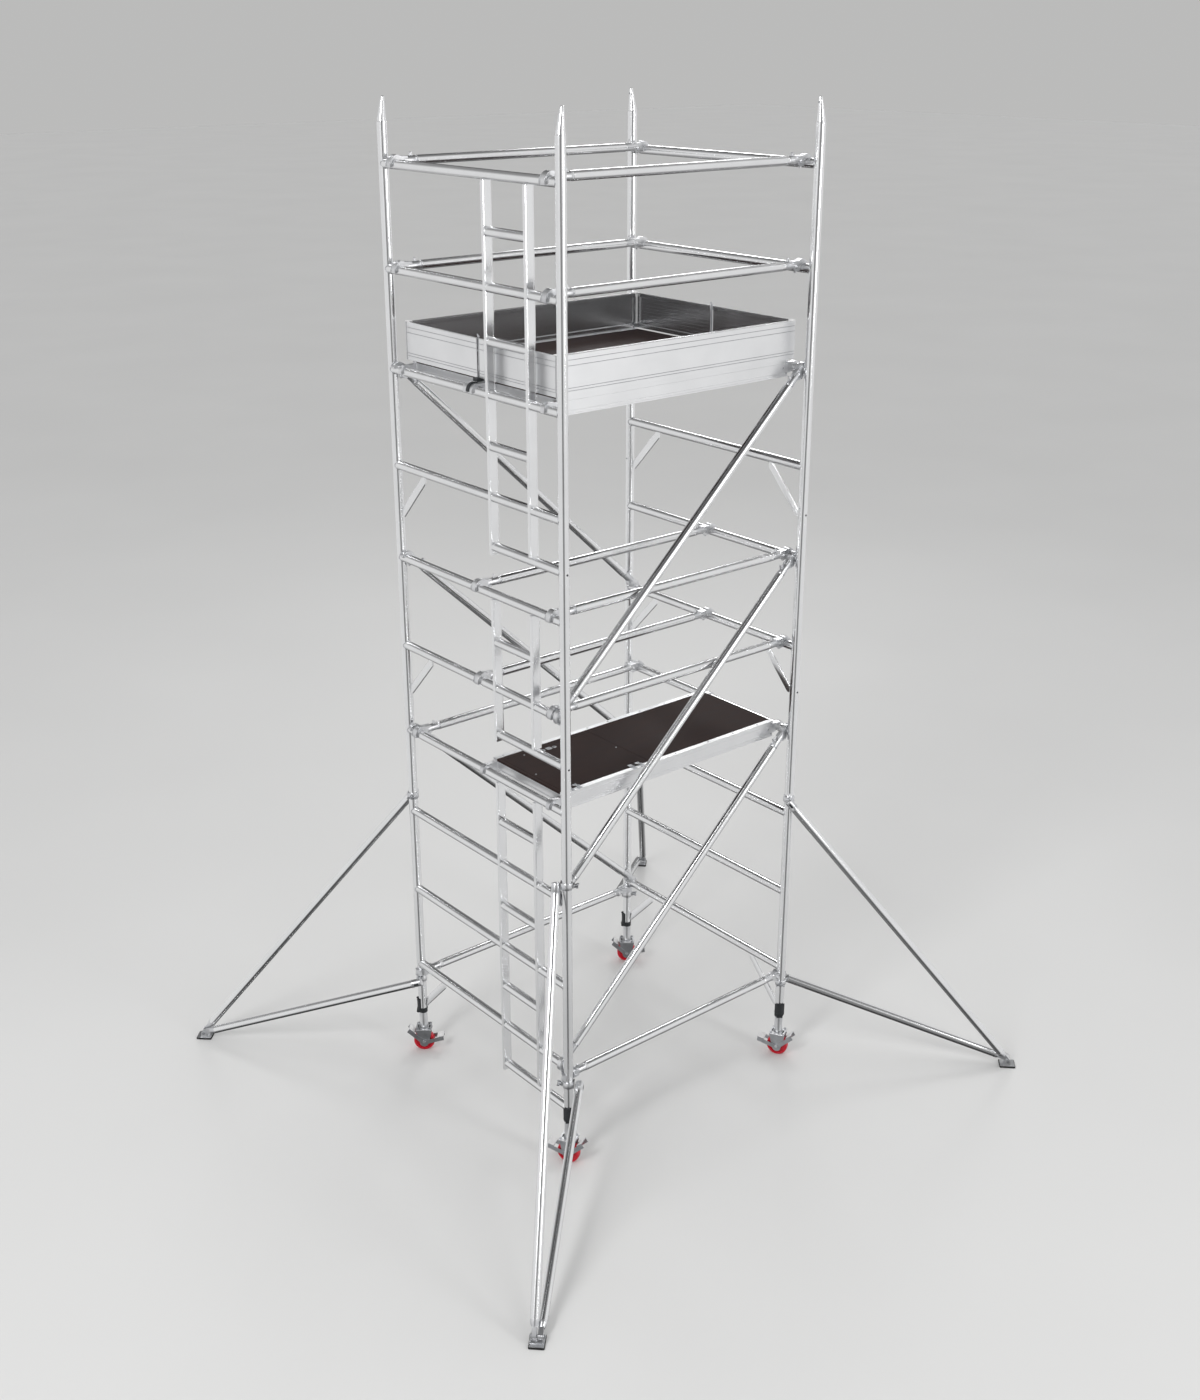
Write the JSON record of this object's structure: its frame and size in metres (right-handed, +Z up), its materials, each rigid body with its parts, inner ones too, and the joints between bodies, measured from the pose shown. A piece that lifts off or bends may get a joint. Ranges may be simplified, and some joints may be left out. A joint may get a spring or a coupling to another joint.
{
  "type": "mobile tower scaffold",
  "caption": "Mobile access tower: ladder and span frames clipped with braces, hatch platforms with toe boards, outrigger stabilisers and braked castors.",
  "frame": {"origin": "on the ground at the centre of the tower, below the middle of the box round the whole tower", "axes": "+Z up, +X from the ladder frames to the span frames, Y across the tower"},
  "size_m": [3.6386, 3.4286, 5.403],
  "materials": {
    "aluminium": "satin drawn tube",
    "steel": "zinc plated",
    "trigger": "cast",
    "toe_board": "extruded, satin",
    "ply": "dark resin-faced plywood",
    "black_plastic": "moulded",
    "wheel": "moulded red",
    "rubber": "matt"
  },
  "bodies": {
    "tower": {"ladder_frame_base": "aluminium", "ladder_frame_mid": "aluminium", "ladder_frame_top": "aluminium", "span_frame_base": "aluminium", "span_frame_mid": "aluminium", "span_frame_top": "aluminium", "guardrail_braces": "aluminium", "middle_braces": "aluminium", "base_braces": "aluminium", "diagonal_braces": "aluminium", "leg_collars": "black_plastic", "lower_hatch_platform_frame": "aluminium", "lower_hatch_platform_deck": "ply", "upper_hatch_platform_frame": "aluminium", "upper_hatch_platform_deck": "ply", "upper_plain_platform_frame": "aluminium", "upper_plain_platform_deck": "ply", "toe_board_sides": "toe_board", "toe_board_ends": "toe_board", "toe_board_fittings": "black_plastic"},
    "interlock_buttons_ladder": {"interlock_buttons_ladder": "steel"},
    "interlock_buttons_span": {"interlock_buttons_span": "steel"},
    "brace_triggers_ladder_end": {"brace_triggers_ladder_end": "trigger"},
    "brace_triggers_span_end": {"brace_triggers_span_end": "trigger"},
    "near_diagonal_triggers_ladder_end": {"near_diagonal_triggers_ladder_end": "trigger"},
    "near_diagonal_triggers_span_end": {"near_diagonal_triggers_span_end": "trigger"},
    "far_diagonal_triggers_ladder_end": {"far_diagonal_triggers_ladder_end": "trigger"},
    "far_diagonal_triggers_span_end": {"far_diagonal_triggers_span_end": "trigger"},
    "lower_hatch": {"lower_hatch": "ply"},
    "lower_hatch_latch": {"lower_hatch_latch": "steel"},
    "upper_hatch": {"upper_hatch": "ply"},
    "upper_hatch_latch": {"upper_hatch_latch": "steel"},
    "adjustable_leg_ladder_near": {"adjustable_leg_ladder_near": "steel"},
    "leg_lock_ladder_near": {"leg_lock_ladder_near": "black_plastic"},
    "castor_fork_ladder_near": {"castor_fork_ladder_near": "steel"},
    "castor_wheel_ladder_near": {"castor_wheel_ladder_near": "wheel"},
    "brake_pedal_ladder_near": {"brake_pedal_ladder_near": "steel"},
    "stabiliser_ladder_near": {"stabiliser_ladder_near": "aluminium"},
    "stabiliser_foot_ladder_near": {"stabiliser_foot_ladder_near": "rubber"},
    "adjustable_leg_span_near": {"adjustable_leg_span_near": "steel"},
    "leg_lock_span_near": {"leg_lock_span_near": "black_plastic"},
    "castor_fork_span_near": {"castor_fork_span_near": "steel"},
    "castor_wheel_span_near": {"castor_wheel_span_near": "wheel"},
    "brake_pedal_span_near": {"brake_pedal_span_near": "steel"},
    "stabiliser_span_near": {"stabiliser_span_near": "aluminium"},
    "stabiliser_foot_span_near": {"stabiliser_foot_span_near": "rubber"},
    "adjustable_leg_ladder_far": {"adjustable_leg_ladder_far": "steel"},
    "leg_lock_ladder_far": {"leg_lock_ladder_far": "black_plastic"},
    "castor_fork_ladder_far": {"castor_fork_ladder_far": "steel"},
    "castor_wheel_ladder_far": {"castor_wheel_ladder_far": "wheel"},
    "brake_pedal_ladder_far": {"brake_pedal_ladder_far": "steel"},
    "stabiliser_ladder_far": {"stabiliser_ladder_far": "aluminium"},
    "stabiliser_foot_ladder_far": {"stabiliser_foot_ladder_far": "rubber"},
    "adjustable_leg_span_far": {"adjustable_leg_span_far": "steel"},
    "leg_lock_span_far": {"leg_lock_span_far": "black_plastic"},
    "castor_fork_span_far": {"castor_fork_span_far": "steel"},
    "castor_wheel_span_far": {"castor_wheel_span_far": "wheel"},
    "brake_pedal_span_far": {"brake_pedal_span_far": "steel"},
    "stabiliser_span_far": {"stabiliser_span_far": "aluminium"},
    "stabiliser_foot_span_far": {"stabiliser_foot_span_far": "rubber"}
  },
  "joints": [
    {"name": "interlock_buttons_ladder_press", "type": "slide", "parent": "tower", "child": "interlock_buttons_ladder", "axis": [-1, 0, 0], "range_m": [0, 0.0045], "stiffness_N_per_m": 800, "springref_m": -0.004},
    {"name": "interlock_buttons_span_press", "type": "slide", "parent": "tower", "child": "interlock_buttons_span", "axis": [1, 0, 0], "range_m": [0, 0.0045], "stiffness_N_per_m": 800, "springref_m": -0.004},
    {"name": "brace_triggers_ladder_end_pull", "type": "slide", "parent": "tower", "child": "brace_triggers_ladder_end", "axis": [1, 0, 0], "range_m": [0, 0.01], "stiffness_N_per_m": 600, "springref_m": -0.004},
    {"name": "brace_triggers_span_end_pull", "type": "slide", "parent": "tower", "child": "brace_triggers_span_end", "axis": [-1, 0, 0], "range_m": [0, 0.01], "stiffness_N_per_m": 600, "springref_m": -0.004},
    {"name": "near_diagonal_triggers_ladder_end_pull", "type": "slide", "parent": "tower", "child": "near_diagonal_triggers_ladder_end", "axis": [0.7295, 0, 0.6839], "range_m": [0, 0.01], "stiffness_N_per_m": 600, "springref_m": -0.004},
    {"name": "near_diagonal_triggers_span_end_pull", "type": "slide", "parent": "tower", "child": "near_diagonal_triggers_span_end", "axis": [-0.7295, 0, -0.6839], "range_m": [0, 0.01], "stiffness_N_per_m": 600, "springref_m": -0.004},
    {"name": "far_diagonal_triggers_ladder_end_pull", "type": "slide", "parent": "tower", "child": "far_diagonal_triggers_ladder_end", "axis": [0.7295, 0, -0.6839], "range_m": [0, 0.01], "stiffness_N_per_m": 600, "springref_m": -0.004},
    {"name": "far_diagonal_triggers_span_end_pull", "type": "slide", "parent": "tower", "child": "far_diagonal_triggers_span_end", "axis": [-0.7295, 0, 0.6839], "range_m": [0, 0.01], "stiffness_N_per_m": 600, "springref_m": -0.004},
    {"name": "lower_hatch_swing", "type": "hinge", "parent": "tower", "child": "lower_hatch", "pos_m": [-0.4425, -0.57, 2.1495], "axis": [1, 0, 0], "range_deg": [0, 88]},
    {"name": "lower_hatch_latch_slide", "type": "slide", "parent": "lower_hatch", "child": "lower_hatch_latch", "axis": [0, -1, 0], "range_m": [0, 0.012], "stiffness_N_per_m": 300, "springref_m": -0.004},
    {"name": "upper_hatch_swing", "type": "hinge", "parent": "tower", "child": "upper_hatch", "pos_m": [-0.4425, -0.57, 4.1495], "axis": [1, 0, 0], "range_deg": [0, 88]},
    {"name": "upper_hatch_latch_slide", "type": "slide", "parent": "upper_hatch", "child": "upper_hatch_latch", "axis": [0, -1, 0], "range_m": [0, 0.012], "stiffness_N_per_m": 300, "springref_m": -0.004},
    {"name": "leg_ladder_near_height", "type": "slide", "parent": "tower", "child": "adjustable_leg_ladder_near", "axis": [0, 0, 1], "range_m": [-0.22, 0]},
    {"name": "leg_lock_ladder_near_swing", "type": "hinge", "parent": "tower", "child": "leg_lock_ladder_near", "pos_m": [-0.8197, -0.72022, 0.268], "axis": [0.788, -0.6157, 0], "range_deg": [0, 75]},
    {"name": "castor_ladder_near_swivel", "type": "hinge", "parent": "adjustable_leg_ladder_near", "child": "castor_fork_ladder_near", "pos_m": [-0.8, -0.695, 0.1], "axis": [0, 0, 1], "continuous": true},
    {"name": "castor_ladder_near_roll", "type": "hinge", "parent": "castor_fork_ladder_near", "child": "castor_wheel_ladder_near", "pos_m": [-0.8, -0.695, 0.0625], "axis": [0.8829, 0.4695, 0], "continuous": true},
    {"name": "brake_ladder_near_rock", "type": "hinge", "parent": "castor_fork_ladder_near", "child": "brake_pedal_ladder_near", "pos_m": [-0.8, -0.695, 0.0625], "axis": [0.8829, 0.4695, 0], "range_deg": [0, 28]},
    {"name": "stabiliser_ladder_near_swing", "type": "hinge", "parent": "tower", "child": "stabiliser_ladder_near", "pos_m": [-0.8, -0.695, 1], "axis": [0, 0, 1], "range_deg": [-5, 35]},
    {"name": "stabiliser_foot_ladder_near_tilt", "type": "hinge", "parent": "stabiliser_ladder_near", "child": "stabiliser_foot_ladder_near", "pos_m": [-1.75954, -1.65454, 0.039], "axis": [0.7071, -0.7071, 0], "range_deg": [-20, 20]},
    {"name": "leg_span_near_height", "type": "slide", "parent": "tower", "child": "adjustable_leg_span_near", "axis": [0, 0, 1], "range_m": [-0.22, 0]},
    {"name": "leg_lock_span_near_swing", "type": "hinge", "parent": "tower", "child": "leg_lock_span_near", "pos_m": [0.7803, -0.72022, 0.268], "axis": [0.788, -0.6157, 0], "range_deg": [0, 75]},
    {"name": "castor_span_near_swivel", "type": "hinge", "parent": "adjustable_leg_span_near", "child": "castor_fork_span_near", "pos_m": [0.8, -0.695, 0.1], "axis": [0, 0, 1], "continuous": true},
    {"name": "castor_span_near_roll", "type": "hinge", "parent": "castor_fork_span_near", "child": "castor_wheel_span_near", "pos_m": [0.8, -0.695, 0.0625], "axis": [0.8829, 0.4695, 0], "continuous": true},
    {"name": "brake_span_near_rock", "type": "hinge", "parent": "castor_fork_span_near", "child": "brake_pedal_span_near", "pos_m": [0.8, -0.695, 0.0625], "axis": [0.8829, 0.4695, 0], "range_deg": [0, 28]},
    {"name": "stabiliser_span_near_swing", "type": "hinge", "parent": "tower", "child": "stabiliser_span_near", "pos_m": [0.8, -0.695, 1], "axis": [0, 0, 1], "range_deg": [-35, 35]},
    {"name": "stabiliser_foot_span_near_tilt", "type": "hinge", "parent": "stabiliser_span_near", "child": "stabiliser_foot_span_near", "pos_m": [1.75954, -1.65454, 0.039], "axis": [0.7071, 0.7071, 0], "range_deg": [-20, 20]},
    {"name": "leg_ladder_far_height", "type": "slide", "parent": "tower", "child": "adjustable_leg_ladder_far", "axis": [0, 0, 1], "range_m": [-0.22, 0]},
    {"name": "leg_lock_ladder_far_swing", "type": "hinge", "parent": "tower", "child": "leg_lock_ladder_far", "pos_m": [-0.82556, 0.71426, 0.268], "axis": [-0.6018, -0.7986, 0], "range_deg": [0, 75]},
    {"name": "castor_ladder_far_swivel", "type": "hinge", "parent": "adjustable_leg_ladder_far", "child": "castor_fork_ladder_far", "pos_m": [-0.8, 0.695, 0.1], "axis": [0, 0, 1], "continuous": true},
    {"name": "castor_ladder_far_roll", "type": "hinge", "parent": "castor_fork_ladder_far", "child": "castor_wheel_ladder_far", "pos_m": [-0.8, 0.695, 0.0625], "axis": [0.6388, 0.7694, 0], "continuous": true},
    {"name": "brake_ladder_far_rock", "type": "hinge", "parent": "castor_fork_ladder_far", "child": "brake_pedal_ladder_far", "pos_m": [-0.8, 0.695, 0.0625], "axis": [-0.6388, -0.7694, 0], "range_deg": [0, 28]},
    {"name": "stabiliser_ladder_far_swing", "type": "hinge", "parent": "tower", "child": "stabiliser_ladder_far", "pos_m": [-0.8, 0.695, 1], "axis": [0, 0, 1], "range_deg": [-35, 35]},
    {"name": "stabiliser_foot_ladder_far_tilt", "type": "hinge", "parent": "stabiliser_ladder_far", "child": "stabiliser_foot_ladder_far", "pos_m": [-1.75954, 1.65454, 0.039], "axis": [-0.7071, -0.7071, 0], "range_deg": [-20, 20]},
    {"name": "leg_span_far_height", "type": "slide", "parent": "tower", "child": "adjustable_leg_span_far", "axis": [0, 0, 1], "range_m": [-0.22, 0]},
    {"name": "leg_lock_span_far_swing", "type": "hinge", "parent": "tower", "child": "leg_lock_span_far", "pos_m": [0.77444, 0.71426, 0.268], "axis": [-0.6018, -0.7986, 0], "range_deg": [0, 75]},
    {"name": "castor_span_far_swivel", "type": "hinge", "parent": "adjustable_leg_span_far", "child": "castor_fork_span_far", "pos_m": [0.8, 0.695, 0.1], "axis": [0, 0, 1], "continuous": true},
    {"name": "castor_span_far_roll", "type": "hinge", "parent": "castor_fork_span_far", "child": "castor_wheel_span_far", "pos_m": [0.8, 0.695, 0.0625], "axis": [0.6388, 0.7694, 0], "continuous": true},
    {"name": "brake_span_far_rock", "type": "hinge", "parent": "castor_fork_span_far", "child": "brake_pedal_span_far", "pos_m": [0.8, 0.695, 0.0625], "axis": [-0.6388, -0.7694, 0], "range_deg": [0, 28]},
    {"name": "stabiliser_span_far_swing", "type": "hinge", "parent": "tower", "child": "stabiliser_span_far", "pos_m": [0.8, 0.695, 1], "axis": [0, 0, 1], "range_deg": [-5, 35]},
    {"name": "stabiliser_foot_span_far_tilt", "type": "hinge", "parent": "stabiliser_span_far", "child": "stabiliser_foot_span_far", "pos_m": [1.75954, 1.65454, 0.039], "axis": [-0.7071, 0.7071, 0], "range_deg": [-20, 20]}
  ]
}
